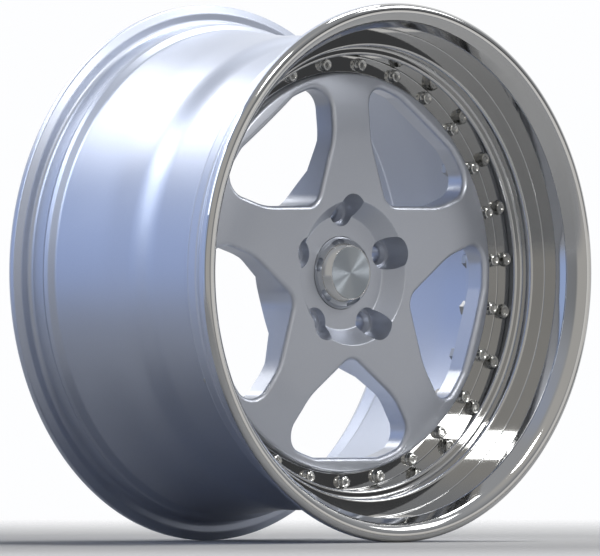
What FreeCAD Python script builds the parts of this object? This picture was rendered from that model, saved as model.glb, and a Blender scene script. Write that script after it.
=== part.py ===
import FreeCAD, Part
import math
import os

# Three-piece deep dish wheel: polished lip, painted barrel and five-spoke centre on a ring of bolts.
# The origin is the centre of the hub face. The axle runs along Y, the dish looks towards -Y, +Z is up.
# Lengths are in millimetres and angles in degrees, seen from the front and counted from +X towards +Z.

# Rim size
rim_width = 241.3
flange_width = 12.7
offset = 20.0
bead_seat_radius = 231.0
flange_height = 17.3
bead_seat_width = 16.3
bead_seat_taper = 5.0
hump_height = 1.3
hump_width = 4.0
well_depth = 17.5

# Flange section
flange_tip_width = 9.0
flange_straight_height = 10.0
flange_front_round = 5.5
flange_edge_round = 2.0
flange_back_round = 6.0
bead_corner_round = 5.0
flange_land = 13.3
flange_inner_round = 14.0
flange_throat_depth = 14.0
throat_round = 3.0

# Lip section
bead_wall = 5.0
rim_wall = 4.5
inner_wall_length = 24.0
middle_wall_length = 13.0
step_height = 8.0
step_round = 2.5
corner_round = 1.0
well_corner_round = 0.3
lip_flange_width = 16.0
lip_flange_thickness = 8.0

# Barrel section
barrel_flange_thickness = 7.0
barrel_flat_depth = 11.5
barrel_slope_start = 5.7
barrel_slope_length = 18.0
barrel_slope_round = 45.0
barrel_taper_rise = 5.5
barrel_taper_length = 60.0
barrel_taper_round = 200.0
shoulder_length = 6.0
shoulder_round = 6.0
sealant_width = 4.0
sealant_sink = 0.4

# Bolt ring
bolt_count = 27
first_bolt_angle = 96.8
bolt_inset = 7.7
bolt_radius = 3.95
bolt_hole_clearance = 0.15
bolt_end_length = 2.5
head_flange_radius = 6.3
head_flange_thickness = 1.6
head_across_flats = 10.0
head_height = 4.6
head_chamfer = 0.7
thread_clearance = 0.05
nut_across_flats = 13.0
nut_height = 6.5
washer_radius = 7.8
washer_thickness = 1.6

# Centre casting
spoke_count = 5
first_spoke_angle = 18.0
centre_flange_thickness = 10.0
centre_flange_offset = 15.35
hub_height = 49.35
face_flat_radius = 125.0
face_curve_radius = 205.0
ring_width = 9.7
ring_edge_round = 3.5
ring_back_height = 6.0
spoke_thickness = 22.0
spoke_half_width = 24.2
spoke_flare_angle = 54.4
window_inner_radius = 76.5
window_inner_round = 16.0
window_side_round = 70.0
window_corner_round = 18.0
window_edge_round = 4.5
hub_pad_radius = 76.0
hub_neck_radius = 100.0
hub_neck_height = 23.0
fit_clearance = 0.3

# Hub recess, lug seats and bores
recess_radius = 67.0
recess_floor_radius = 53.0
recess_depth = 17.0
recess_edge_round = 2.0
recess_floor_round = 2.5
lug_count = 5
lug_circle_radius = 57.15
lug_hole_radius = 7.25
lug_pocket_radius = 13.5
lug_pocket_mouth_radius = 16.0
lug_pocket_sink = 8.0
lug_seat_radius = 10.5
lug_seat_angle = 60.0
hub_bore_radius = 36.55
hub_bore_length = 12.35
hub_bore_chamfer = 1.0
clip_recess_radius = 34.6
clip_recess_length = 5.0

# Centre cap
cap_radius = 33.6
cap_seat_depth = 3.0
cap_seat_clearance = 0.4
cap_ledge_width = 2.5
cap_skirt_clearance = 0.3
cap_height = 13.6
cap_disc_radius = 24.0
cap_disc_thickness = 1.0
cap_disc_clearance = 0.1
cap_rim_width = 0.8
cap_wall = 2.5
cap_bulge = 1.6
cap_skirt_reach = 4.0
ring_wire_radius = 0.9

# Tyre valve
valve_angle = 206.0
valve_hole_radius = 4.15
valve_stem_radius = 3.9
valve_head_radius = 5.2
valve_head_thickness = 2.5
valve_seal_thickness = 1.5
valve_washer_thickness = 1.0
valve_washer_radius = 5.2
valve_nut_across_flats = 10.0
valve_nut_height = 5.0
valve_stem_reach = 15.0
valve_core_radius = 1.6
valve_core_length = 12.0
valve_core_clearance = 0.1
valve_cap_radius = 4.9
valve_cap_length = 9.0
valve_cap_wall = 0.9

AXLE = FreeCAD.Vector(0, 1, 0)
CENTRE = FreeCAD.Vector(0, 0, 0)

# Stations along the axle
overall_width = rim_width + 2 * flange_width
front = offset - overall_width / 2
back = front + overall_width
flange_back = -centre_flange_offset
flange_front = flange_back - centre_flange_thickness
lip_face = flange_front - lip_flange_thickness
step_two = lip_face - inner_wall_length
step_one = step_two - middle_wall_length
barrel_flange_back = flange_back + barrel_flange_thickness
spoke_face = -hub_height
recess_floor = spoke_face + recess_depth

# Radii that follow from one another
flange_radius = bead_seat_radius + flange_height
drop_radius = bead_seat_radius - well_depth
middle_radius = drop_radius - rim_wall
inner_radius = middle_radius - step_height
lip_hole_radius = inner_radius - lip_flange_width
spigot_radius = middle_radius
sleeve_radius = spigot_radius + fit_clearance / 2
bolt_circle_radius = inner_radius - bolt_inset
bolt_hole_radius = bolt_radius + bolt_hole_clearance
centre_radius = lip_hole_radius - fit_clearance
window_radius = centre_radius - ring_width


def rounded_wire(corners, place):
    """Closed wire through (u, v, radius) corners, each rounded by its own arc."""
    edges = []
    ends = []
    count = len(corners)
    for i, (u, v, radius) in enumerate(corners):
        here = FreeCAD.Vector(u, v, 0)
        before = FreeCAD.Vector(*corners[i - 1][:2], 0) - here
        after = FreeCAD.Vector(*corners[(i + 1) % count][:2], 0) - here
        before.normalize()
        after.normalize()
        half = before.getAngle(after) / 2
        if radius <= 0 or half > math.radians(89.9):
            ends.append((here, None, here))
            continue
        run = radius / math.tan(half)
        middle = before + after
        middle.normalize()
        peak = here + middle * (radius / math.sin(half) - radius)
        ends.append((here + before * run, peak, here + after * run))
    for i, (start, peak, end) in enumerate(ends):
        if peak is not None:
            edges.append(Part.Arc(place(start), place(peak), place(end)).toShape())
        following = ends[(i + 1) % count][0]
        if (following - end).Length > 1e-6:
            edges.append(Part.LineSegment(place(end), place(following)).toShape())
    return Part.Wire(edges)


def upright(solid):
    """The same solid with its faces looking outwards."""
    if solid.Volume < 0:
        solid.reverse()
    return solid


def turned(corners):
    """Solid of revolution about the axle from a section of (radius, station, corner radius)."""
    section = Part.Face(rounded_wire(corners, lambda p: p))
    return upright(section.revolve(CENTRE, AXLE, 360))


def prism(corners, start, end):
    """Straight bar along the axle from an outline of (x, z, corner radius)."""
    outline = rounded_wire(corners, lambda p: FreeCAD.Vector(p.x, start, p.y))
    return upright(Part.Face(outline).extrude(AXLE * (end - start)))


def hexagon(across_flats):
    """Outline of a hexagon."""
    reach = across_flats / math.sqrt(3)
    angles = [math.radians(60 * k) for k in range(6)]
    return [(reach * math.cos(a), reach * math.sin(a), 0) for a in angles]


def on_circle(shape, radius, angle):
    """Copy of a shape that stands on the axle, moved out to a place on a circle."""
    moved = shape.copy()
    turn = math.radians(angle)
    moved.translate(FreeCAD.Vector(radius * math.cos(turn), 0, radius * math.sin(turn)))
    return moved


def ring_of(shape, radius, count, first_angle):
    """Group of equal shapes spaced evenly round a circle."""
    return Part.makeCompound(
        [on_circle(shape, radius, first_angle + 360 * k / count) for k in range(count)]
    )


def drill(radius, start, end):
    """Round bar on the axle, for holes and pins."""
    return Part.makeCylinder(radius, end - start, FreeCAD.Vector(0, start, 0), AXLE)


def flange_section(edge, inward):
    """Section corners of one bead flange, from the throat inside to the end of the hump outside."""
    seat_start = edge + inward * flange_width
    seat_end = seat_start + inward * bead_seat_width
    seat_low = bead_seat_radius - bead_seat_width * math.tan(math.radians(bead_seat_taper))
    throat_radius = bead_seat_radius - bead_wall
    return [
        (throat_radius, edge + inward * flange_throat_depth, throat_round),
        (flange_radius - flange_land, edge, flange_inner_round),
        (flange_radius, edge, flange_front_round),
        (flange_radius, edge + inward * flange_tip_width, flange_edge_round),
        (bead_seat_radius + flange_straight_height, seat_start, flange_back_round),
        (bead_seat_radius, seat_start, bead_corner_round),
        (seat_low, seat_end, hump_width / 2),
        (seat_low + hump_height, seat_end + inward * hump_width / 2, hump_width / 2),
        (seat_low, seat_end + inward * hump_width * 1.5, hump_width),
    ]


# Outer lip: turned rim half with its dish, two steps and the flange that takes the bolts
throat_radius = bead_seat_radius - bead_wall
lip_corners = flange_section(front, 1)
hump_end_radius = lip_corners[-1][0]
lip_corners += [
    (hump_end_radius, step_one + rim_wall, rim_wall),
    (drop_radius, step_one + rim_wall, well_corner_round),
    (drop_radius, step_two + rim_wall, 0),
    (spigot_radius, step_two + rim_wall, 0),
    (spigot_radius, flange_front, 0),
    (lip_hole_radius, flange_front, 0),
    (lip_hole_radius, lip_face, corner_round),
    (inner_radius, lip_face, corner_round),
    (inner_radius, step_two, step_round),
    (middle_radius, step_two, step_round),
    (middle_radius, step_one, step_round),
    (throat_radius, step_one, corner_round),
]
outer_lip = turned(lip_corners)

# Inner barrel: turned rim half whose sleeve slides over the lip's spigot
barrel_edge = step_two + rim_wall + sealant_width
slope_start = barrel_flange_back + barrel_slope_start
slope_end = slope_start + barrel_slope_length
flat_radius = bead_seat_radius - barrel_flat_depth
flat_end = back - flange_width - bead_seat_width - hump_width * 1.5 - shoulder_length
flat_bore = flat_radius - rim_wall
taper_start = flat_end - barrel_taper_length
inner_shoulder = flat_end + rim_wall
barrel_corners = flange_section(back, -1)
barrel_corners += [
    (flat_radius + barrel_taper_rise, flat_end, shoulder_round),
    (flat_radius, taper_start, barrel_taper_round),
    (flat_radius, slope_end, barrel_slope_round),
    (drop_radius, slope_start, barrel_slope_round),
    (drop_radius, barrel_edge, 0),
    (sleeve_radius, barrel_edge, 0),
    (sleeve_radius, flange_back, 0),
    (lip_hole_radius, flange_back, 0),
    (lip_hole_radius, barrel_flange_back, corner_round),
    (sleeve_radius, barrel_flange_back, corner_round),
    (sleeve_radius, slope_start, barrel_slope_round),
    (flat_bore, slope_end, barrel_slope_round),
    (flat_bore, taper_start, barrel_taper_round),
    (flat_bore + barrel_taper_rise, inner_shoulder, shoulder_round),
    (throat_radius, inner_shoulder + shoulder_length, shoulder_round),
]
inner_barrel = turned(barrel_corners)

# Sealant: bead in the groove between the lip's shoulder and the barrel's edge
seam_sealant = turned([
    (spigot_radius, step_two + rim_wall, 0),
    (drop_radius - sealant_sink, step_two + rim_wall, 0),
    (drop_radius - sealant_sink, barrel_edge, 0),
    (spigot_radius, barrel_edge, 0),
])

# Bolts, washers and nuts: twelve-point heads on the lip, nuts behind the barrel's flange
nut_face = barrel_flange_back + washer_thickness
bolt_end = nut_face + nut_height + bolt_end_length
head_seat = lip_face - head_flange_thickness
head_top = head_seat - head_height
point_reach = head_across_flats / math.sqrt(3)
hollow_reach = head_across_flats / 2 / math.cos(math.radians(15))
points = []
for k in range(24):
    reach = hollow_reach if k % 2 else point_reach
    turn = math.radians(15 * k)
    points.append((reach * math.cos(turn), reach * math.sin(turn), 0))
head_limit = turned([
    (0, head_seat, 0),
    (point_reach + head_chamfer, head_seat, 0),
    (point_reach, head_top + head_chamfer, 0),
    (hollow_reach - head_chamfer, head_top, 0),
    (0, head_top, 0),
])
bolt_head = prism(points, head_top, head_seat).common(head_limit)
bolt_collar = drill(head_flange_radius, head_seat, lip_face)
bolt_shank = drill(bolt_radius, lip_face, bolt_end)
bolt = bolt_head.fuse([bolt_collar, bolt_shank]).removeSplitter()
nut = prism(hexagon(nut_across_flats), nut_face, nut_face + nut_height)
nut = nut.cut(drill(bolt_radius + thread_clearance, nut_face, nut_face + nut_height))
washer = drill(washer_radius, barrel_flange_back, nut_face)
washer = washer.cut(drill(bolt_hole_radius, barrel_flange_back, nut_face))
assembly_bolts = ring_of(bolt, bolt_circle_radius, bolt_count, first_bolt_angle)
assembly_nuts = ring_of(nut, bolt_circle_radius, bolt_count, first_bolt_angle)
bolt_washers = ring_of(washer, bolt_circle_radius, bolt_count, first_bolt_angle)
bolt_hole = drill(bolt_hole_radius, lip_face, barrel_flange_back)
bolt_holes = ring_of(bolt_hole, bolt_circle_radius, bolt_count, first_bolt_angle)

# Centre: cast disc with a domed face, bolted between lip and barrel
cap_seat_radius = cap_radius + cap_seat_clearance
cap_ledge_radius = cap_seat_radius - cap_ledge_width
cap_seat = recess_floor + cap_seat_depth
ledge_back = -(hub_bore_length + clip_recess_length)
curve_width = centre_radius - face_flat_radius
face_drop = face_curve_radius - math.sqrt(face_curve_radius ** 2 - curve_width ** 2)
ring_face = spoke_face + face_drop
curve_middle = curve_width / 2
middle_drop = face_curve_radius - math.sqrt(face_curve_radius ** 2 - curve_middle ** 2)
spoke_back = spoke_face + spoke_thickness
ring_back = flange_back - ring_back_height


def centre_section():
    """Half section of the centre as a wire, with the curve of the spoke faces as one arc."""
    corners = [
        (centre_radius, ring_face),
        (centre_radius, flange_front),
        (spigot_radius, flange_front),
        (spigot_radius, flange_back),
        (lip_hole_radius, flange_back),
        (lip_hole_radius - ring_back_height, ring_back),
        (face_flat_radius, spoke_back),
        (hub_neck_radius, -hub_neck_height),
        (hub_pad_radius, 0),
        (hub_bore_radius + hub_bore_chamfer, 0),
        (hub_bore_radius, -hub_bore_chamfer),
        (hub_bore_radius, -hub_bore_length),
        (clip_recess_radius, -hub_bore_length),
        (clip_recess_radius, ledge_back),
        (cap_ledge_radius, ledge_back),
        (cap_ledge_radius, cap_seat),
        (cap_seat_radius, cap_seat),
        (cap_seat_radius, recess_floor),
        (recess_floor_radius, recess_floor),
        (recess_radius, spoke_face),
        (face_flat_radius, spoke_face),
    ]
    places = [FreeCAD.Vector(radius, station, 0) for radius, station in corners]
    edges = [Part.LineSegment(a, b).toShape() for a, b in zip(places, places[1:])]
    crown = FreeCAD.Vector(face_flat_radius + curve_middle, spoke_face + middle_drop, 0)
    edges.append(Part.Arc(places[-1], crown, places[0]).toShape())
    return Part.Wire(edges)


centre_disc = upright(Part.Face(centre_section()).revolve(CENTRE, AXLE, 360))

# Window between two spokes: its sides run beside the spokes and flare towards the hub
spoke_pitch = 360 / spoke_count
lean = math.radians(spoke_pitch / 2)
flare = math.tan(math.radians(spoke_flare_angle))
side_shift = spoke_half_width * math.sin(lean)
side_drop = spoke_half_width * math.cos(lean)
bend = (flare * (window_inner_radius - side_shift) - side_drop) / (flare * math.cos(lean) - math.sin(lean))
beyond = window_radius + window_corner_round


def beside_spoke(along):
    """Point on the window's side, a distance along the spoke, in the window's own axes."""
    return along * math.cos(lean) + side_shift, along * math.sin(lean) - side_drop


bend_u, bend_v = beside_spoke(bend)
far_u, far_v = beside_spoke(beyond)
window = prism([
    (window_inner_radius, 0, window_inner_round),
    (bend_u, bend_v, window_side_round),
    (far_u, far_v, 0),
    (far_u, -far_v, 0),
    (bend_u, -bend_v, window_side_round),
], spoke_face - spoke_thickness, 0)
window = window.common(drill(window_radius, spoke_face - spoke_thickness, 0))
corner_edges = []
for edge in window.Edges:
    ends = [vertex.Point for vertex in edge.Vertexes]
    along_axle = len(ends) == 2 and math.hypot(ends[0].x - ends[1].x, ends[0].z - ends[1].z) < 1e-6
    if along_axle and abs(math.hypot(ends[0].x, ends[0].z) - window_radius) < 1e-3:
        corner_edges.append(edge)
window = window.makeFillet(window_corner_round, corner_edges)
windows = []
for k in range(spoke_count):
    opening = window.copy()
    opening.rotate(CENTRE, AXLE, -(first_spoke_angle + spoke_pitch * (k + 0.5)))
    windows.append(opening)
wheel_centre = centre_disc.cut(Part.makeCompound(windows))


def on_face(point):
    """Whether a point lies on the front of the spokes."""
    radius = math.hypot(point.x, point.z)
    beyond_flat = max(0, radius - face_flat_radius)
    drop = face_curve_radius - math.sqrt(face_curve_radius ** 2 - beyond_flat ** 2)
    return abs(point.y - spoke_face - drop) < 1e-3


def is_window_edge(edge):
    """Whether an edge runs round the front of a window."""
    middle = edge.valueAt((edge.FirstParameter + edge.LastParameter) / 2)
    radius = math.hypot(middle.x, middle.z)
    inside = recess_radius + 1 < radius < window_radius + 1
    return inside and abs(radius - face_flat_radius) > 1e-3 and on_face(middle)


def is_ring_edge(edge, radius, station):
    """Whether an edge is a circle about the axle with this radius at this station."""
    middle = edge.valueAt((edge.FirstParameter + edge.LastParameter) / 2)
    return abs(math.hypot(middle.x, middle.z) - radius) < 1e-3 and abs(middle.y - station) < 1e-3


window_edges = [edge for edge in wheel_centre.Edges if is_window_edge(edge)]
wheel_centre = wheel_centre.makeFillet(window_edge_round, window_edges)
for radius, station, rounding in (
    (centre_radius, ring_face, ring_edge_round),
    (recess_radius, spoke_face, recess_edge_round),
    (recess_floor_radius, recess_floor, recess_floor_round),
):
    ring_edges = [edge for edge in wheel_centre.Edges if is_ring_edge(edge, radius, station)]
    wheel_centre = wheel_centre.makeFillet(rounding, ring_edges)

# Lug pockets with tapered seats, and the holes for the bolts
lug_floor = recess_floor + lug_pocket_sink
seat_length = (lug_seat_radius - lug_hole_radius) / math.tan(math.radians(lug_seat_angle / 2))
pocket_height = lug_floor - spoke_face
lug_pocket = Part.makeCone(
    lug_pocket_radius, lug_pocket_mouth_radius, pocket_height, FreeCAD.Vector(0, lug_floor, 0), -AXLE
)
lug_seat = Part.makeCone(
    lug_seat_radius, lug_hole_radius, seat_length, FreeCAD.Vector(0, lug_floor, 0), AXLE
)
lug_tool = lug_pocket.fuse([lug_seat, drill(lug_hole_radius, lug_floor, 0)])
lug_tools = ring_of(lug_tool, lug_circle_radius, lug_count, first_spoke_angle)
wheel_centre = wheel_centre.cut(lug_tools).cut(bolt_holes)
outer_lip = outer_lip.cut(bolt_holes)
inner_barrel = inner_barrel.cut(bolt_holes)

# Centre cap: bright moulded cap with a bulged side, its disc and the wire ring behind the ledge
cap_front = recess_floor - cap_height
cap_rim_radius = cap_disc_radius + cap_disc_clearance + cap_rim_width
skirt_radius = cap_ledge_radius - cap_skirt_clearance
skirt_end = ledge_back + cap_skirt_reach
groove_middle = ledge_back + ring_wire_radius
side_middle = (cap_front + recess_floor) / 2
side_run = FreeCAD.Vector(cap_radius - cap_rim_radius, recess_floor - cap_front, 0)
bulge = FreeCAD.Vector(side_run.y, -side_run.x, 0)
bulge.normalize()


def cap_section():
    """Half section of the cap as a wire, with its bulged side as one arc."""
    corners = [
        (cap_radius, recess_floor),
        (cap_radius, cap_seat),
        (skirt_radius, cap_seat),
        (skirt_radius, skirt_end),
        (skirt_radius - cap_wall, skirt_end),
        (skirt_radius - cap_wall, recess_floor),
        (cap_disc_radius - cap_wall, cap_front + cap_disc_thickness + cap_wall),
        (0, cap_front + cap_disc_thickness + cap_wall),
        (0, cap_front + cap_disc_thickness),
        (cap_disc_radius + cap_disc_clearance, cap_front + cap_disc_thickness),
        (cap_disc_radius + cap_disc_clearance, cap_front),
        (cap_rim_radius, cap_front),
    ]
    places = [FreeCAD.Vector(radius, station, 0) for radius, station in corners]
    edges = [Part.LineSegment(a, b).toShape() for a, b in zip(places, places[1:])]
    crown = FreeCAD.Vector((cap_rim_radius + cap_radius) / 2, side_middle, 0) + bulge * cap_bulge
    edges.append(Part.Arc(places[-1], crown, places[0]).toShape())
    return Part.Wire(edges)


ring_radius = skirt_radius
ring_wire = Part.makeTorus(ring_radius, ring_wire_radius, FreeCAD.Vector(0, groove_middle, 0), AXLE)
centre_cap = upright(Part.Face(cap_section()).revolve(CENTRE, AXLE, 360)).cut(ring_wire)
cap_spring_ring = ring_wire
cap_face_disc = drill(cap_disc_radius, cap_front, cap_front + cap_disc_thickness)

# Tyre valve: stem through the wide step of the lip, sealed on the tyre side and clamped by its nut
valve_radius = (throat_radius + drop_radius) / 2
step_back = step_one + rim_wall
seal_back = step_back + valve_seal_thickness
valve_washer_front = step_one - valve_washer_thickness
valve_tip = step_one - valve_stem_reach
cap_bore_radius = valve_stem_radius + thread_clearance
core_bore_radius = valve_core_radius + valve_core_clearance
valve_stem = drill(valve_stem_radius, valve_tip, seal_back)
valve_stem = valve_stem.fuse(drill(valve_head_radius, seal_back, seal_back + valve_head_thickness))
valve_stem = valve_stem.cut(drill(core_bore_radius, valve_tip, seal_back + valve_head_thickness))
valve_seal = drill(valve_head_radius, step_back, seal_back)
valve_seal = valve_seal.cut(drill(valve_stem_radius, step_back, seal_back))
valve_washer = drill(valve_washer_radius, valve_washer_front, step_one)
valve_washer = valve_washer.cut(drill(valve_hole_radius, valve_washer_front, step_one))
nut_front = valve_washer_front - valve_nut_height
valve_nut = prism(hexagon(valve_nut_across_flats), nut_front, valve_washer_front)
valve_nut = valve_nut.cut(drill(cap_bore_radius, nut_front, valve_washer_front))
valve_core = drill(valve_core_radius, valve_tip, valve_tip + valve_core_length)
cap_end = valve_tip - valve_cap_wall
valve_cap = drill(valve_cap_radius, cap_end, cap_end + valve_cap_length)
valve_cap = valve_cap.cut(drill(cap_bore_radius, valve_tip, cap_end + valve_cap_length))
outer_lip = outer_lip.cut(on_circle(drill(valve_hole_radius, step_one, step_back), valve_radius, valve_angle))

nodes = {
    "outer_lip": outer_lip,
    "inner_barrel": inner_barrel,
    "wheel_centre": wheel_centre,
    "seam_sealant": seam_sealant,
    "assembly_bolts": assembly_bolts,
    "bolt_washers": bolt_washers,
    "assembly_nuts": assembly_nuts,
    "centre_cap": centre_cap,
    "cap_face_disc": cap_face_disc,
    "cap_spring_ring": cap_spring_ring,
    "valve_stem": on_circle(valve_stem, valve_radius, valve_angle),
    "valve_seal": on_circle(valve_seal, valve_radius, valve_angle),
    "valve_washer": on_circle(valve_washer, valve_radius, valve_angle),
    "valve_nut": on_circle(valve_nut, valve_radius, valve_angle),
    "valve_core": on_circle(valve_core, valve_radius, valve_angle),
    "valve_cap": on_circle(valve_cap, valve_radius, valve_angle),
}

os.makedirs("parts", exist_ok=True)
for name, shape in nodes.items():
    shape.exportStep(f"parts/{name}.step")
    print(name, "valid", shape.isValid(), "solids", len(shape.Solids), "volume", round(shape.Volume))
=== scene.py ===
from math import cos, pi, radians, sin, sqrt, tan

import bmesh
import bpy
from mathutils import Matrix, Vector


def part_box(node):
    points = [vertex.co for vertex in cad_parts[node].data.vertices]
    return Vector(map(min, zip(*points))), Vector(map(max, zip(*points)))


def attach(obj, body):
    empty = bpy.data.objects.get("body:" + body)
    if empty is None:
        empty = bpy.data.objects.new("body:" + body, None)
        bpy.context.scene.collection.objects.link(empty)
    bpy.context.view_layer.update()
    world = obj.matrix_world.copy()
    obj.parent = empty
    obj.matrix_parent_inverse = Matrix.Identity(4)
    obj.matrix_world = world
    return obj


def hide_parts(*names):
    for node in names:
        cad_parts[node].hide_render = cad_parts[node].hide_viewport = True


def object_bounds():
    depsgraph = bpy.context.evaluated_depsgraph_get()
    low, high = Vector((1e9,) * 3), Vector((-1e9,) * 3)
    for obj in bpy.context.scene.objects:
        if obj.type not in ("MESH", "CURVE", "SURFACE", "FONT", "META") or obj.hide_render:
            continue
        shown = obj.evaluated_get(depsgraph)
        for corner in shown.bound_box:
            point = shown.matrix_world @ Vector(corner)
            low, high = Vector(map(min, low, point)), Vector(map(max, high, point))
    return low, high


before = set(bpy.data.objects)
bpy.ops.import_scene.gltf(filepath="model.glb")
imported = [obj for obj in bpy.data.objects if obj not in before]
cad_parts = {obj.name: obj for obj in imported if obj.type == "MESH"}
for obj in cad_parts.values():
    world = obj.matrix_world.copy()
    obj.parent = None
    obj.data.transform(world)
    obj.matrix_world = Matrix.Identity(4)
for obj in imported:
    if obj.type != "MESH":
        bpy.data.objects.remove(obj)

scene = bpy.context.scene
scene.view_settings.view_transform = "Standard"
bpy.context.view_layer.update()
wheel_low, wheel_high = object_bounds()
wheel_radius = wheel_high.z


# Camera: level with the axle, a long way off, turned to look into the dish from its left.
# The far viewpoint and long lens give the flat perspective of a catalogue picture.
view_azimuth = radians(-43.8)
view_lens = 1400.0
view_sensor = 36.0
picture_width = 0.5548
view_target = Vector((0.0, 0.0218, -0.0048))
view_distance = picture_width * view_lens / view_sensor
view_back = Vector((sin(view_azimuth), -cos(view_azimuth), 0.0))

camera_data = bpy.data.cameras.new("catalogue_camera")
camera_data.lens = view_lens
camera_data.sensor_width = view_sensor
camera_data.clip_end = 4 * view_distance
camera = bpy.data.objects.new("catalogue_camera", camera_data)
camera.location = view_target + view_back * view_distance
camera.rotation_euler = (-view_back).to_track_quat("-Z", "Y").to_euler()
scene.collection.objects.link(camera)
scene.camera = camera


class Shading:
    """A material's node tree with short calls to add, set and join its nodes."""

    def __init__(self, name):
        self.material = bpy.data.materials.new(name)
        self.material.use_nodes = True
        self.nodes = self.material.node_tree.nodes
        self.surface = self.nodes["Principled BSDF"]

    def add(self, kind, **settings):
        node = self.nodes.new("ShaderNode" + kind)
        for key, value in settings.items():
            setattr(node, key, value)
        return node

    def join(self, source, target):
        self.material.node_tree.links.new(source, target)

    def feed(self, socket, value):
        if isinstance(value, bpy.types.NodeSocket):
            self.join(value, socket)
        else:
            socket.default_value = value

    def math(self, operation, *values):
        node = self.add("Math", operation=operation)
        for socket, value in zip(node.inputs, values):
            self.feed(socket, value)
        return node.outputs[0]

    def set(self, **values):
        for key, value in values.items():
            self.feed(self.surface.inputs[key.replace("_", " ")], value)

    def place(self):
        return self.add("TexCoord").outputs["Object"]

    def noise(self, scale, detail=2.0):
        node = self.add("TexNoise")
        node.inputs["Scale"].default_value = scale
        node.inputs["Detail"].default_value = detail
        self.join(self.place(), node.inputs["Vector"])
        return node.outputs["Fac"]

    def spread(self, value, low, high, start=0.0, end=1.0):
        node = self.add("MapRange")
        self.join(value, node.inputs["Value"])
        for key, number in (("From Min", start), ("From Max", end), ("To Min", low), ("To Max", high)):
            node.inputs[key].default_value = number
        return node.outputs["Result"]

    def blend(self, amount, first, second):
        node = self.add("Mix", data_type="RGBA")
        self.feed(node.inputs["Factor"], amount)
        self.feed(node.inputs["A"], first)
        self.feed(node.inputs["B"], second)
        return node.outputs["Result"]

    def bump(self, height, distance, strength=1.0, under=None):
        node = self.add("Bump")
        node.inputs["Distance"].default_value = distance
        node.inputs["Strength"].default_value = strength
        self.join(height, node.inputs["Height"])
        if under:
            self.join(under, node.inputs["Normal"])
        return node.outputs["Normal"]

    def axle_radius(self):
        parts = self.add("SeparateXYZ")
        self.join(self.place(), parts.inputs[0])
        square = self.math("MULTIPLY_ADD", parts.outputs["X"], parts.outputs["X"],
                           self.math("MULTIPLY", parts.outputs["Z"], parts.outputs["Z"]))
        return self.math("SQRT", square)


# Floor: a round sheet of pale studio paper under the wheel, fading into the backdrop at its edge.
floor_radius = 2.0
floor_fade_start = 0.5
floor_colour = (0.72, 0.72, 0.72, 1.0)
floor_mesh = bpy.data.meshes.new("studio_floor")
floor_shape = bmesh.new()
bmesh.ops.create_circle(floor_shape, cap_ends=True, segments=96, radius=floor_radius)
floor_shape.to_mesh(floor_mesh)
floor_shape.free()
floor = bpy.data.objects.new("studio_floor", floor_mesh)
floor.location = (0.0, (wheel_low.y + wheel_high.y) / 2, wheel_low.z)
scene.collection.objects.link(floor)
paper = Shading("studio_paper")
paper_grain = paper.spread(paper.noise(600.0, 4.0), 0.97, 1.03)
paper.set(Base_Color=floor_colour, Roughness=0.9, Specular_IOR_Level=0.1)
paper.set(Normal=paper.bump(paper_grain, 0.0004, 0.3))
away = paper.add("VectorMath", operation="LENGTH")
paper.join(paper.place(), away.inputs[0])
paper_edge = paper.spread(away.outputs["Value"], 1.0, 0.0, floor_fade_start, floor_radius)
paper.set(Alpha=paper_edge)
floor_mesh.materials.append(paper.material)


# Studio: a pale backdrop behind the wheel and a grey room round it, cool at its left, warm in front and dark in a
# small patch at its right front. Reflections see the room as bright as the camera does, but it casts less light.
# Flags keep the nearer boxes off the floor, which would throw their light back onto the lower barrel.
backdrop_level = 1.0
room_level = 0.31
left_level = 0.60
ceiling_level = 0.48
ground_level = 0.42
dark_level = 0.07
front_level = 0.58
room_light = 0.16
backdrop_colour = (0.985, 0.99, 1.0, 1.0)
room_colour = (0.94, 0.96, 1.0, 1.0)
cool_colour = (0.80, 1.02, 1.60, 1.0)
warm_colour = (1.0, 0.975, 0.935, 1.0)
world = bpy.data.worlds.new("studio")
scene.world = world
world.use_nodes = True
sky = world.node_tree
sky_place = sky.nodes.new("ShaderNodeTexCoord").outputs["Generated"]
sky_parts = sky.nodes.new("ShaderNodeSeparateXYZ")
sky.links.new(sky_place, sky_parts.inputs[0])


def sky_range(socket, start, end, low, high):
    """Maps a direction's part onto a level of brightness, easing in and out."""
    node = sky.nodes.new("ShaderNodeMapRange")
    node.interpolation_type = "SMOOTHSTEP"
    sky.links.new(socket, node.inputs["Value"])
    for key, number in (("From Min", start), ("From Max", end), ("To Min", low), ("To Max", high)):
        node.inputs[key].default_value = number
    return node.outputs["Result"]


def sky_mix(kind, factor, first, second):
    """Blends two levels of brightness or two colours."""
    node = sky.nodes.new("ShaderNodeMix")
    node.data_type = kind
    sky.links.new(factor, node.inputs["Factor"])
    places = {"FLOAT": (2, 3), "RGBA": (6, 7)}[kind]
    for place, value in zip(places, (first, second)):
        if isinstance(value, bpy.types.NodeSocket):
            sky.links.new(value, node.inputs[place])
        else:
            node.inputs[place].default_value = value
    return node.outputs[{"FLOAT": 0, "RGBA": 2}[kind]]


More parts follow.
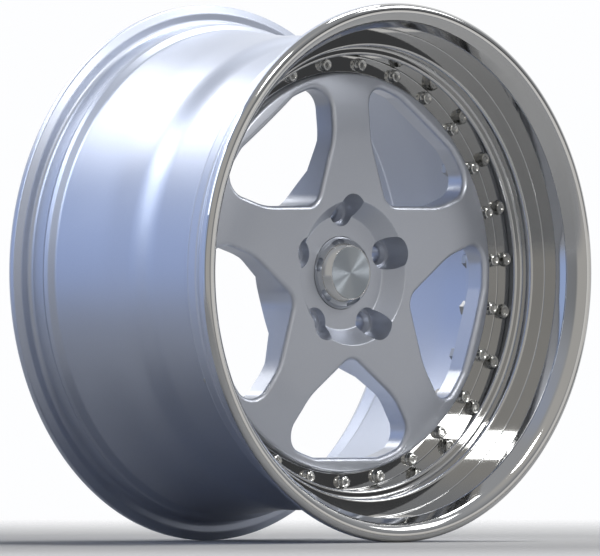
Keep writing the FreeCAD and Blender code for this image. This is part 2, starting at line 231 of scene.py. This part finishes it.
facing = sky.nodes.new("ShaderNodeVectorMath")
facing.operation = "DOT_PRODUCT"
sky.links.new(sky_place, facing.inputs[0])
facing.inputs[1].default_value = -view_back
behind = sky_range(facing.outputs["Value"], 0.30, 0.75, 0.0, 1.0)
upward = sky_range(sky_parts.outputs["Z"], 0.15, 0.60, 0.0, 1.0)
leftward = sky_range(sky_parts.outputs["X"], -0.25, -0.60, 0.0, 1.0)
leftward = sky_mix("FLOAT", sky_range(sky_parts.outputs["Y"], -0.40, 0.0, 0.0, 1.0), 0.0, leftward)
downward = sky_range(sky_parts.outputs["Z"], -0.02, -0.25, 0.0, 1.0)
aside = sky.nodes.new("ShaderNodeVectorMath")
aside.operation = "DOT_PRODUCT"
sky.links.new(sky_place, aside.inputs[0])
aside.inputs[1].default_value = (-view_back.x, view_back.y, 0.0)
shaded = sky_range(aside.outputs["Value"], 0.985, 0.998, 0.0, 1.0)
level = sky_mix("FLOAT", leftward, room_level, left_level)
level = sky_mix("FLOAT", upward, level, ceiling_level)
level = sky_mix("FLOAT", downward, level, ground_level)
ahead = sky_range(sky_parts.outputs["Y"], -0.40, -0.65, 0.0, 1.0)
ahead = sky_mix("FLOAT", sky_range(sky_parts.outputs["Z"], -0.25, -0.05, 0.0, 1.0), 0.0, ahead)
ahead = sky_mix("FLOAT", sky_range(sky_parts.outputs["X"], 0.50, 0.20, 0.0, 1.0), 0.0, ahead)
level = sky_mix("FLOAT", ahead, level, front_level)
level = sky_mix("FLOAT", shaded, level, dark_level)
level = sky_mix("FLOAT", behind, level, backdrop_level)
tint = sky_mix("RGBA", leftward, room_colour, cool_colour)
tint = sky_mix("RGBA", downward, tint, room_colour)
tint = sky_mix("RGBA", ahead, tint, warm_colour)
tint = sky_mix("RGBA", behind, tint, backdrop_colour)
path = sky.nodes.new("ShaderNodeLightPath")
level_cast = sky.nodes.new("ShaderNodeMath")
level_cast.operation = "MULTIPLY"
level_cast.inputs[1].default_value = room_light
sky.links.new(level, level_cast.inputs[0])
level = sky_mix("FLOAT", path.outputs["Is Diffuse Ray"], level, level_cast.outputs[0])
sky.links.new(tint, sky.nodes["Background"].inputs["Color"])
sky.links.new(level, sky.nodes["Background"].inputs["Strength"])


off_floor = bpy.data.collections.new("off_floor")
off_floor.objects.link(floor)
off_floor.collection_objects[0].light_linking.link_state = "EXCLUDE"


def soft_box(name, place, target, width, height, power, colour=(1.0, 1.0, 1.0), flagged=False):
    """One soft light, aimed at a point and hidden from the camera. A flagged one doesn't light the floor."""
    light = bpy.data.lights.new(name, "AREA")
    light.shape = "RECTANGLE"
    light.size = width
    light.size_y = height
    light.energy = power
    light.color = colour
    lamp = bpy.data.objects.new(name, light)
    lamp.visible_camera = False
    if flagged:
        lamp.light_linking.receiver_collection = off_floor
    lamp.location = place
    lamp.rotation_euler = (Vector(target) - Vector(place)).to_track_quat("-Z", "Y").to_euler()
    scene.collection.objects.link(lamp)


soft_box("top_box", (0.95, -0.1, 2.1), (0.05, 0.03, 0), 0.7, 0.7, 26.0)
soft_box("key_box", (1.7, -1.3, 1.5), (0, 0, 0), 0.8, 0.8, 11.0)
soft_box("front_box", (0.15, -1.6, 1.35), (0, 0, 0), 0.42, 0.34, 8.0, flagged=True)
soft_box("barrel_box", (-0.20, 0.85, 0.88), (-0.12, 0.06, 0.1), 0.75, 0.40, 3.2, flagged=True)
soft_box("slope_box", (-0.92, 0.32, 1.12), (-0.12, 0.0, 0.1), 0.60, 0.40, 4.2, flagged=True)
soft_box("window_box", (-1.6, 0.1, 1.0), (0, 0.05, 0), 0.8, 0.8, 4.8, (0.86, 0.93, 1.0), flagged=True)
soft_box("side_panel", (1.03, -0.93, -0.03), (0.2, -0.065, -0.03), 1.0, 0.20, 0.36, (1.0, 0.96, 0.90))


# Outer lip: the front rim half, turned from aluminium and polished to a mirror inside the dish.
# Its tyre side is lacquered silver like the barrel. A flange inside the dish takes the bolts.
lip_low, lip_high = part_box("outer_lip")
lip_front = lip_low.y
lip_flange_back = lip_high.y
flange_width = 0.0127
flange_height = 0.0173
flange_tip_width = 0.009
flange_straight_height = 0.010
flange_land = 0.0133
throat_depth = 0.014
seat_length = 0.0163
seat_taper = radians(5)
hump_height = 0.0013
hump_rise_length = 0.002
hump_length = 0.006
well_depth = 0.0175
bead_wall = 0.005
rim_wall = 0.0045
step_height = 0.008
bolt_flange_height = 0.016
bolt_flange_width = 0.008
inner_wall_length = 0.024
middle_wall_length = 0.013
lathe_crease = radians(38)
bead_seat_radius = wheel_radius - flange_height
drop_radius = bead_seat_radius - well_depth
middle_radius = drop_radius - rim_wall
inner_radius = middle_radius - step_height
lip_hole_radius = inner_radius - bolt_flange_height
lip_face = lip_flange_back - bolt_flange_width
step_two = lip_face - inner_wall_length
step_one = step_two - middle_wall_length
throat_radius = bead_seat_radius - bead_wall


def rounded(corners, steps=8):
    """Outline through (radius, station, rounding) corners, each rounded by an arc of short runs."""
    outline = []
    count = len(corners)
    for i, (radius, station, rounding) in enumerate(corners):
        here = Vector((radius, station))
        before = (Vector(corners[i - 1][:2]) - here).normalized()
        after = (Vector(corners[(i + 1) % count][:2]) - here).normalized()
        half = before.angle(after) / 2
        if rounding <= 0 or half > radians(89.9):
            outline.append(here)
            continue
        centre = here + (before + after).normalized() * rounding / sin(half)
        start = here + before * rounding / tan(half) - centre
        end = here + after * rounding / tan(half) - centre
        sweep = start.angle(end)
        for k in range(steps + 1):
            part = sweep * k / steps
            outline.append(centre + (start * sin(sweep - part) + end * sin(part)) / sin(sweep))
    return outline


def lathe(name, outline, turns=288, finish=None):
    """Closed ring turned about the axle from an outline, smooth but for its sharp corners.
    finish picks a material number from the radius and station of each band."""
    mesh = bpy.data.meshes.new(name)
    count = len(outline)
    places = []
    bands = []
    for t in range(turns):
        turn = 2 * pi * t / turns
        places += [(p[0] * cos(turn), p[1], p[0] * sin(turn)) for p in outline]
    for t in range(turns):
        near = t * count
        far = ((t + 1) % turns) * count
        for i in range(count):
            j = (i + 1) % count
            bands.append((near + i, near + j, far + j, far + i))
    mesh.from_pydata(places, [], bands)
    shape = bmesh.new()
    shape.from_mesh(mesh)
    bmesh.ops.remove_doubles(shape, verts=shape.verts, dist=1e-7)
    bmesh.ops.recalc_face_normals(shape, faces=shape.faces)
    shape.to_mesh(mesh)
    shape.free()
    for face in mesh.polygons:
        face.use_smooth = True
        if finish:
            middle = face.center
            face.material_index = finish(sqrt(middle.x ** 2 + middle.z ** 2), middle.y)
    mesh.set_sharp_from_angle(angle=lathe_crease)
    piece = bpy.data.objects.new(name, mesh)
    scene.collection.objects.link(piece)
    evened = piece.modifiers.new("even_normals", "WEIGHTED_NORMAL")
    evened.keep_sharp = True
    return piece


def install(piece, node, slot, *materials):
    """Dresses a finished piece, lets it ride on the wheel and stand for its CAD node."""
    for material in materials:
        piece.data.materials.append(material)
    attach(piece, "root")
    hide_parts(node)


def flange_corners(edge, inward):
    """Section corners of a bead flange, from the throat inside to the hump on the tyre side."""
    seat_start = edge + inward * flange_width
    seat_end = seat_start + inward * seat_length
    seat_low = bead_seat_radius - seat_length * tan(seat_taper)
    return [
        (throat_radius, edge + inward * throat_depth, 0.003),
        (wheel_radius - flange_land, edge, 0.014),
        (wheel_radius, edge, 0.0055),
        (wheel_radius, edge + inward * flange_tip_width, 0.002),
        (bead_seat_radius + flange_straight_height, seat_start, 0.006),
        (bead_seat_radius, seat_start, 0.005),
        (seat_low, seat_end, 0.002),
        (seat_low + hump_height, seat_end + inward * hump_rise_length, 0.002),
        (seat_low, seat_end + inward * hump_length, 0.004),
    ]


lip_corners = flange_corners(lip_front, 1)
lip_corners += [
    (lip_corners[-1][0], step_one + rim_wall, 0.0045),
    (drop_radius, step_one + rim_wall, 0.0003),
    (drop_radius, step_two + rim_wall, 0.0),
    (middle_radius, step_two + rim_wall, 0.0),
    (middle_radius, lip_flange_back, 0.0),
    (lip_hole_radius, lip_flange_back, 0.0),
    (lip_hole_radius, lip_face, 0.001),
    (inner_radius, lip_face, 0.001),
    (inner_radius, step_two, 0.0025),
    (middle_radius, step_two, 0.0025),
    (middle_radius, step_one, 0.0025),
    (throat_radius, step_one, 0.001),
]


def lip_finish(radius, station):
    """Polish inside the dish and on the flange's face, lacquer on the tyre side."""
    land_radius = wheel_radius - flange_land
    slope = (radius - throat_radius) / (land_radius - throat_radius)
    on_flange = radius > land_radius and station < lip_front + 0.0045
    in_dish = radius < throat_radius + 0.0004 and station < step_one
    in_dish = in_dish or station < lip_front + throat_depth * (1 - slope) + 0.0022
    in_dish = in_dish or (radius < throat_radius + 0.0001 and station < step_one + 0.0012)
    in_dish = in_dish or (radius < middle_radius + 0.0001 and station < step_two + 0.003)
    in_dish = in_dish or (radius < inner_radius + 0.0001 and station < lip_face + 0.0012)
    return 0 if on_flange or in_dish else 1


polish = Shading("polished_lip")
polish_lathe = polish.math("SINE", polish.math("MULTIPLY", polish.axle_radius(), 9000.0))
polish_haze = polish.noise(14.0, 5.0)
polish.set(
    Base_Color=polish.blend(polish_haze, (0.52, 0.52, 0.515, 1.0), (0.59, 0.59, 0.585, 1.0)),
    Metallic=1.0,
    Roughness=polish.spread(polish_haze, 0.035, 0.075, 0.3, 0.7),
    Normal=polish.bump(polish_lathe, 0.000002, 0.25),
)


def silver_lacquer(name, colour, dark, roughness):
    """Silver metallic paint under clear lacquer: fine flakes, a slight orange peel and a soft cloudiness."""
    paint = Shading(name)
    flakes = paint.add("TexVoronoi", feature="F1")
    flakes.inputs["Scale"].default_value = 2600.0
    paint.join(paint.place(), flakes.inputs["Vector"])
    flake_tone = paint.add("SeparateColor")
    paint.join(flakes.outputs["Color"], flake_tone.inputs["Color"])
    cloud = paint.noise(9.0, 4.0)
    tone = paint.math("MULTIPLY_ADD", flake_tone.outputs["Red"], 0.35, paint.math("MULTIPLY", cloud, 0.65))
    peel = paint.noise(420.0, 2.0)
    paint.set(
        Base_Color=paint.blend(tone, dark, colour),
        Metallic=0.82,
        Roughness=paint.spread(cloud, roughness - 0.03, roughness + 0.03, 0.3, 0.7),
        Coat_Weight=0.25,
        Coat_Roughness=0.22,
        Normal=paint.bump(flake_tone.outputs["Green"], 0.00004, 0.10, paint.bump(peel, 0.00002, 0.15)),
    )
    return paint.material


barrel_lacquer = silver_lacquer("barrel_lacquer", (0.58, 0.62, 0.72, 1.0), (0.50, 0.54, 0.63, 1.0), 0.42)
outer_lip = lathe("polished_outer_lip", rounded(lip_corners), 360, lip_finish)
install(outer_lip, "outer_lip", "polished_lip", polish.material, barrel_lacquer)


# Inner barrel: the rear rim half, spun from aluminium and lacquered silver inside and out.
# Its sleeve slides over the lip's spigot, and its own flange backs the ring of bolts.
barrel_low, barrel_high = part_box("inner_barrel")
barrel_back = barrel_high.y
barrel_edge = barrel_low.y
sleeve_radius = middle_radius + 0.00015
barrel_flange_front = lip_flange_back + 0.010
barrel_flange_back = barrel_flange_front + 0.007
slope_start = barrel_flange_back + 0.0057
slope_end = slope_start + 0.018
flat_radius = bead_seat_radius - 0.0115
flat_bore = flat_radius - rim_wall
well_ramp = 0.006
flat_end = barrel_back - flange_width - seat_length - hump_length - well_ramp
taper_rise = 0.0055
taper_start = flat_end - 0.060
barrel_corners = flange_corners(barrel_back, -1)
barrel_corners += [
    (flat_radius + taper_rise, flat_end, 0.006),
    (flat_radius, taper_start, 0.2),
    (flat_radius, slope_end, 0.045),
    (drop_radius, slope_start, 0.045),
    (drop_radius, barrel_edge, 0.0002),
    (sleeve_radius, barrel_edge, 0.0),
    (sleeve_radius, barrel_flange_front, 0.0),
    (lip_hole_radius, barrel_flange_front, 0.0),
    (lip_hole_radius, barrel_flange_back, 0.001),
    (sleeve_radius, barrel_flange_back, 0.001),
    (sleeve_radius, slope_start, 0.045),
    (flat_bore, slope_end, 0.045),
    (flat_bore, taper_start, 0.2),
    (flat_bore + taper_rise, flat_end + rim_wall, 0.006),
    (throat_radius, flat_end + rim_wall + well_ramp, 0.006),
]
inner_barrel = lathe("lacquered_inner_barrel", rounded(barrel_corners), 320)
install(inner_barrel, "inner_barrel", "silver_paint", barrel_lacquer)


# Sealant: the bead wiped into the groove between the two rim halves, painted over with the barrel.
# It lies almost flush, so the joint shows only as two faint lines.
seal_depth = barrel_edge - (step_two + rim_wall)
sealant_corners = [
    (middle_radius, step_two + rim_wall, 0.0),
    (drop_radius - 0.0001, step_two + rim_wall, 0.0),
    (drop_radius - 0.0002, step_two + rim_wall + seal_depth / 2, 0.003),
    (drop_radius - 0.0001, barrel_edge, 0.0),
    (middle_radius, barrel_edge, 0.0),
]
seam_sealant = lathe("seam_sealant_bead", rounded(sealant_corners, 4), 256)
install(seam_sealant, "seam_sealant", "sealant", barrel_lacquer)


# Wheel centre: a five-spoke aluminium casting, machined on its face and lacquered silver.
# Its outer ring sits behind the lip's flange, and its hub carries the lug pockets and the cap.
casting_crease = radians(32)


def smooth_casting(node):
    """Joins a CAD node's loose triangles and shades them smoothly between its real edges."""
    tree = bpy.data.node_groups.new("smooth_casting", "GeometryNodeTree")
    tree.interface.new_socket("Geometry", in_out="INPUT", socket_type="NodeSocketGeometry")
    tree.interface.new_socket("Geometry", in_out="OUTPUT", socket_type="NodeSocketGeometry")
    start = tree.nodes.new("NodeGroupInput")
    weld = tree.nodes.new("GeometryNodeMergeByDistance")
    weld.inputs["Distance"].default_value = 1e-6
    soften = tree.nodes.new("GeometryNodeSetShadeSmooth")
    angle = tree.nodes.new("GeometryNodeInputMeshEdgeAngle")
    crease = tree.nodes.new("FunctionNodeCompare")
    crease.operation = "GREATER_THAN"
    crease.inputs["B"].default_value = casting_crease
    harden = tree.nodes.new("GeometryNodeSetShadeSmooth")
    harden.domain = "EDGE"
    harden.inputs["Shade Smooth"].default_value = False
    finish = tree.nodes.new("NodeGroupOutput")
    join = tree.links.new
    join(start.outputs[0], weld.inputs["Geometry"])
    join(weld.outputs["Geometry"], soften.inputs["Geometry"])
    join(soften.outputs["Geometry"], harden.inputs["Geometry"])
    join(angle.outputs["Unsigned Angle"], crease.inputs["A"])
    join(crease.outputs["Result"], harden.inputs["Selection"])
    join(harden.outputs["Geometry"], finish.inputs[0])
    node.modifiers.new("smooth_casting", "NODES").node_group = tree
    evened = node.modifiers.new("even_normals", "WEIGHTED_NORMAL")
    evened.keep_sharp = True


def dress(node_name, material):
    """Gives a CAD node that keeps its own shape a finished material."""
    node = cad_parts[node_name]
    node.data.materials.clear()
    node.data.materials.append(material)
    return node


centre_lacquer = silver_lacquer("centre_lacquer", (0.595, 0.622, 0.685, 1.0), (0.52, 0.548, 0.612, 1.0), 0.38)
smooth_casting(dress("wheel_centre", centre_lacquer))


# Fasteners: plated twelve-point bolts clamp the lip, the centre and the barrel together.
# Each has a washer and a nut behind the barrel's flange, and the threads show past the nut.
bolt_count = 27
bolt_first_angle = radians(96.8)
bolt_circle = inner_radius - 0.0077
bolt_across_flats = 0.010
nut_across_flats = 0.013
head_turn_rate = -2.7
fastener_crease = radians(30)
bolts_low, bolts_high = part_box("assembly_bolts")


def fastener_ring_tree():
    """Geometry tree that sets copies of one fastener round a circle about the axle."""
    tree = bpy.data.node_groups.new("fastener_ring", "GeometryNodeTree")
    sockets = {}
    for name, kind in (("Count", "Int"), ("Circle Radius", "Float"), ("First Angle", "Float"),
                       ("Fastener", "Object"), ("Finish", "Material")):
        socket = tree.interface.new_socket(name, in_out="INPUT", socket_type="NodeSocket" + kind)
        sockets[name] = socket.identifier
    tree.interface.new_socket("Ring", in_out="OUTPUT", socket_type="NodeSocketGeometry")
    given = tree.nodes.new("NodeGroupInput").outputs
    join = tree.links.new

    def number(operation, first, second):
        node = tree.nodes.new("ShaderNodeMath")
        node.operation = operation
        for socket, value in zip(node.inputs, (first, second)):
            if isinstance(value, bpy.types.NodeSocket):
                join(value, socket)
            elif value is not None:
                socket.default_value = value
        return node.outputs[0]

    seats = tree.nodes.new("GeometryNodeMeshLine")
    join(given["Count"], seats.inputs["Count"])
    index = tree.nodes.new("GeometryNodeInputIndex").outputs[0]
    share = number("DIVIDE", number("MULTIPLY", index, 2 * pi), given["Count"])
    angle = number("ADD", share, given["First Angle"])
    spot = tree.nodes.new("ShaderNodeCombineXYZ")
    join(number("MULTIPLY", number("COSINE", angle, None), given["Circle Radius"]), spot.inputs["X"])
    join(number("MULTIPLY", number("SINE", angle, None), given["Circle Radius"]), spot.inputs["Z"])
    turn = tree.nodes.new("ShaderNodeCombineXYZ")
    join(number("MULTIPLY", angle, head_turn_rate), turn.inputs["Y"])
    spread = tree.nodes.new("GeometryNodeSetPosition")
    join(seats.outputs["Mesh"], spread.inputs["Geometry"])
    join(spot.outputs["Vector"], spread.inputs["Position"])
    source = tree.nodes.new("GeometryNodeObjectInfo")
    join(given["Fastener"], source.inputs["Object"])
    copies = tree.nodes.new("GeometryNodeInstanceOnPoints")
    join(spread.outputs["Geometry"], copies.inputs["Points"])
    join(source.outputs["Geometry"], copies.inputs["Instance"])
    join(turn.outputs["Vector"], copies.inputs["Rotation"])
    real = tree.nodes.new("GeometryNodeRealizeInstances")
    join(copies.outputs["Instances"], real.inputs["Geometry"])
    coat = tree.nodes.new("GeometryNodeSetMaterial")
    join(real.outputs["Geometry"], coat.inputs["Geometry"])
    join(given["Finish"], coat.inputs["Material"])
    result = tree.nodes.new("NodeGroupOutput")
    join(coat.outputs["Geometry"], result.inputs[0])
    return tree, sockets


ring_tree, ring_sockets = fastener_ring_tree()


def fastener_ring(name, fastener, material, node, slot):
    """Ring of one fastener as a plain mesh that stands for its CAD node."""
    carrier = bpy.data.objects.new(name + "_carrier", bpy.data.meshes.new(name + "_carrier"))
    scene.collection.objects.link(carrier)
    ring = carrier.modifiers.new("ring", "NODES")
    ring.node_group = ring_tree
    settings = {"Count": bolt_count, "Circle Radius": bolt_circle, "First Angle": bolt_first_angle,
                "Fastener": fastener, "Finish": material}
    for key, value in settings.items():
        ring[ring_sockets[key]] = value
    evaluated = carrier.evaluated_get(bpy.context.evaluated_depsgraph_get())
    mesh = bpy.data.meshes.new_from_object(evaluated)
    mesh.name = name
    bpy.data.objects.remove(carrier)
    bpy.data.objects.remove(fastener)
    piece = bpy.data.objects.new(name, mesh)
    scene.collection.objects.link(piece)
    install(piece, node, slot)


def stack(name, rings):
    """Solid built of (station, outline) rings joined by bands and closed at both ends."""
    shape = bmesh.new()
    loops = []
    for station, outline in rings:
        loops.append([shape.verts.new((x, station, z)) for x, z in outline])
    for first, second in zip(loops, loops[1:]):
        count = len(first)
        for i in range(count):
            j = (i + 1) % count
            shape.faces.new((first[i], first[j], second[j], second[i]))
    shape.faces.new(loops[0])
    shape.faces.new(loops[-1])
    bmesh.ops.recalc_face_normals(shape, faces=shape.faces)
    mesh = bpy.data.meshes.new(name)
    shape.to_mesh(mesh)
    shape.free()
    for face in mesh.polygons:
        face.use_smooth = True
    mesh.set_sharp_from_angle(angle=fastener_crease)
    piece = bpy.data.objects.new(name, mesh)
    scene.collection.objects.link(piece)
    return piece


def star(points, reach, hollow):
    """Outline with points and hollows, for twelve-point and hexagon shapes."""
    outline = []
    for k in range(2 * points):
        span = hollow if k % 2 else reach
        outline.append((span * cos(pi * k / points), span * sin(pi * k / points)))
    return outline


head_reach = bolt_across_flats / sqrt(3)
head_hollow = bolt_across_flats / 2 / cos(radians(15))
collar_radius = 0.0063
shank_radius = 0.00395
head_top = bolts_low.y
collar_face = lip_face - 0.0016


def round_of(radius):
    """Circle with the same number of points as a twelve-point outline."""
    return star(12, radius, radius)


bolt_rings = [
    (head_top + 0.0012, round_of(0.0020)),
    (head_top + 0.0004, round_of(0.0030)),
    (head_top, round_of(0.0037)),
    (head_top, round_of(0.0044)),
    (head_top + 0.0006, star(12, head_reach - 0.0003, head_hollow - 0.0001)),
    (head_top + 0.0011, star(12, head_reach, head_hollow)),
    (collar_face - 0.0006, star(12, head_reach, head_hollow)),
    (collar_face - 0.0001, round_of(head_reach)),
    (collar_face + 0.0002, round_of(collar_radius - 0.0002)),
    (collar_face + 0.0006, round_of(collar_radius)),
    (lip_face, round_of(collar_radius)),
    (lip_face, round_of(shank_radius)),
]
thread_start = barrel_flange_back + 0.001
thread_pitch = 0.00125
thread_turns = int((bolts_high.y - 0.0012 - thread_start) / thread_pitch)
for k in range(thread_turns):
    bolt_rings.append((thread_start + k * thread_pitch, round_of(shank_radius - 0.0006)))
    bolt_rings.append((thread_start + (k + 0.5) * thread_pitch, round_of(shank_radius)))
bolt_rings.append((bolts_high.y - 0.0010, round_of(shank_radius - 0.0003)))
bolt_rings.append((bolts_high.y, round_of(shank_radius - 0.0012)))

bolt_plate = Shading("plated_bolt")
bolt_wear = bolt_plate.noise(160.0, 4.0)
bolt_plate.set(
    Base_Color=bolt_plate.blend(bolt_wear, (0.50, 0.50, 0.49, 1.0), (0.64, 0.64, 0.62, 1.0)),
    Metallic=1.0,
    Roughness=bolt_plate.spread(bolt_wear, 0.10, 0.24, 0.3, 0.7),
    Normal=bolt_plate.bump(bolt_wear, 0.00005, 0.2),
)
fastener_ring("plated_bolts", stack("bolt", bolt_rings), bolt_plate.material, "assembly_bolts", "bolt_steel")

zinc = Shading("zinc_plate")
zinc_mottle = zinc.noise(240.0, 3.0)
zinc.set(
    Base_Color=zinc.blend(zinc_mottle, (0.36, 0.36, 0.36, 1.0), (0.50, 0.50, 0.49, 1.0)),
    Metallic=1.0,
    Roughness=zinc.spread(zinc_mottle, 0.28, 0.42),
    Normal=zinc.bump(zinc_mottle, 0.00006, 0.3),
)
nut_low, nut_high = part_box("assembly_nuts")
nut_reach = nut_across_flats / sqrt(3)
nut_bore = shank_radius + 0.00005


def hexagon_round(reach):
    """Hexagon outline with the same number of points as a twelve-point outline."""
    outline = []
    for k in range(24):
        turn = 2 * pi * k / 24
        nearest = radians(60) * round((turn - radians(30)) / radians(60)) + radians(30)
        span = reach * cos(radians(30)) / cos(turn - nearest)
        outline.append((span * cos(turn), span * sin(turn)))
    return outline


def tube(name, rings):
    """Closed ring solid from rings that run down the outside and back up the bore."""
    piece = stack(name, rings)
    shape = bmesh.new()
    shape.from_mesh(piece.data)
    caps = [face for face in shape.faces if len(face.verts) > 4]
    bmesh.ops.delete(shape, geom=caps, context="FACES_ONLY")
    bmesh.ops.remove_doubles(shape, verts=shape.verts, dist=1e-7)
    bmesh.ops.recalc_face_normals(shape, faces=shape.faces)
    shape.to_mesh(piece.data)
    shape.free()
    piece.data.set_sharp_from_angle(angle=fastener_crease)
    return piece


nut_rings = [
    (nut_low.y, round_of(nut_bore)),
    (nut_low.y, round_of(0.0060)),
    (nut_low.y + 0.0005, hexagon_round(nut_reach)),
    (nut_high.y - 0.0008, hexagon_round(nut_reach)),
    (nut_high.y, round_of(0.0061)),
    (nut_high.y, round_of(nut_bore + 0.0005)),
    (nut_high.y - 0.0005, round_of(nut_bore)),
    (nut_low.y, round_of(nut_bore)),
]
fastener_ring("plated_nuts", tube("nut", nut_rings), zinc.material, "assembly_nuts", "nut_steel")

washer_low, washer_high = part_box("bolt_washers")
washer_bore = 0.0041
washer_radius = 0.0078
washer_edge = 0.0002
washer_rings = [
    (washer_low.y, round_of(washer_bore)),
    (washer_low.y, round_of(washer_radius - washer_edge)),
    (washer_low.y + washer_edge, round_of(washer_radius)),
    (washer_high.y - washer_edge, round_of(washer_radius)),
    (washer_high.y, round_of(washer_radius - washer_edge)),
    (washer_high.y, round_of(washer_bore)),
    (washer_low.y, round_of(washer_bore)),
]
fastener_ring("plated_washers", tube("washer", washer_rings), zinc.material, "bolt_washers", "nut_steel")


# Centre cap: a chromed moulding pushed into the hub, with a bulged side and a bare spun disc in front.
# A wire ring behind the hub's ledge holds it.
cap_low, cap_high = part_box("centre_cap")
cap_radius = cap_high.x
cap_front = cap_low.y
cap_depth = 0.0136
cap_collar = 0.003
cap_wall = 0.0025
cap_clearance = 0.0004
ledge_height = 0.0025
skirt_clearance = 0.0003
side_swell = 0.0016
disc_radius = 0.024
disc_depth = 0.001
cap_floor = cap_front + cap_depth
cap_seat = cap_floor + cap_collar
skirt_radius = cap_radius + cap_clearance - ledge_height - skirt_clearance
rim_radius = disc_radius + 0.0009
cap_side = []
for k in range(1, 16):
    part = k / 16
    swell = side_swell * 4 * part * (1 - part)
    cap_side.append((rim_radius + (cap_radius - rim_radius) * part + swell * 0.83,
                     cap_front + (cap_floor - cap_front) * part - swell * 0.55, 0.0))
cap_corners = [
    (disc_radius + 0.0001, cap_front + disc_depth, 0.0),
    (disc_radius + 0.0001, cap_front, 0.0003),
    (rim_radius, cap_front, 0.0003),
    *cap_side,
    (cap_radius, cap_floor, 0.0008),
    (cap_radius, cap_seat, 0.0),
    (skirt_radius, cap_seat, 0.0),
    (skirt_radius, cap_high.y, 0.0004),
    (skirt_radius - cap_wall, cap_high.y, 0.0004),
    (skirt_radius - cap_wall, cap_floor, 0.0),
    (disc_radius - cap_wall, cap_front + disc_depth + cap_wall, 0.0),
    (0.0, cap_front + disc_depth + cap_wall, 0.0),
    (0.0, cap_front + disc_depth, 0.0),
]
cap_chrome = Shading("cap_chrome")
cap_haze = cap_chrome.noise(60.0, 4.0)
cap_chrome.set(
    Base_Color=cap_chrome.blend(cap_haze, (0.54, 0.55, 0.56, 1.0), (0.62, 0.63, 0.64, 1.0)),
    Metallic=1.0,
    Roughness=cap_chrome.spread(cap_haze, 0.03, 0.08, 0.3, 0.7),
)
centre_cap = lathe("chromed_cap", rounded(cap_corners, 3), 160)
install(centre_cap, "centre_cap", "cap_chrome", cap_chrome.material)

spun = Shading("spun_disc")
spun_rings = spun.math("SINE", spun.math("MULTIPLY", spun.axle_radius(), 26000.0))
spun.set(
    Base_Color=(0.47, 0.51, 0.55, 1.0),
    Metallic=1.0,
    Roughness=spun.spread(spun_rings, 0.40, 0.50, -1.0, 1.0),
    Anisotropic=0.95,
    Normal=spun.bump(spun_rings, 0.000004, 0.5),
)
spun_tangent = spun.add("Tangent", direction_type="RADIAL", axis="Y")
spun.set(Tangent=spun_tangent.outputs[0])
disc_corners = [
    (0.0, cap_front + disc_depth, 0.0),
    (disc_radius, cap_front + disc_depth, 0.0),
    (disc_radius, cap_front, 0.0002),
    (0.012, cap_front, 0.0),
    (0.0, cap_front, 0.0),
]
cap_disc = lathe("spun_cap_disc", rounded(disc_corners, 3), 128)
install(cap_disc, "cap_face_disc", "cap_disc", spun.material)

wire = Shading("spring_wire")
wire_scale = wire.noise(500.0, 3.0)
wire.set(
    Base_Color=wire.blend(wire_scale, (0.24, 0.24, 0.24, 1.0), (0.38, 0.38, 0.37, 1.0)),
    Metallic=1.0,
    Roughness=wire.spread(wire_scale, 0.30, 0.45),
)
smooth_casting(dress("cap_spring_ring", wire.material))


# Tyre valve: a nickel-plated clamp-in valve through the wide step of the lip.
# A rubber seal sits on the tyre side, a washer and nut clamp it from the dish, and a plain cap closes it.
nickel = Shading("nickel_plate")
nickel_bloom = nickel.noise(300.0, 3.0)
nickel.set(
    Base_Color=nickel.blend(nickel_bloom, (0.54, 0.52, 0.47, 1.0), (0.64, 0.62, 0.57, 1.0)),
    Metallic=1.0,
    Roughness=nickel.spread(nickel_bloom, 0.16, 0.26),
    Normal=nickel.bump(nickel_bloom, 0.00003, 0.2),
)
rubber = Shading("valve_rubber")
rubber_grain = rubber.noise(900.0, 3.0)
rubber.set(
    Base_Color=rubber.blend(rubber_grain, (0.018, 0.018, 0.018, 1.0), (0.035, 0.035, 0.034, 1.0)),
    Roughness=rubber.spread(rubber_grain, 0.55, 0.72),
    Normal=rubber.bump(rubber_grain, 0.0001, 0.4),
)
for valve_piece in ("valve_stem", "valve_washer", "valve_nut", "valve_core", "valve_cap"):
    smooth_casting(dress(valve_piece, nickel.material))
smooth_casting(dress("valve_seal", rubber.material))
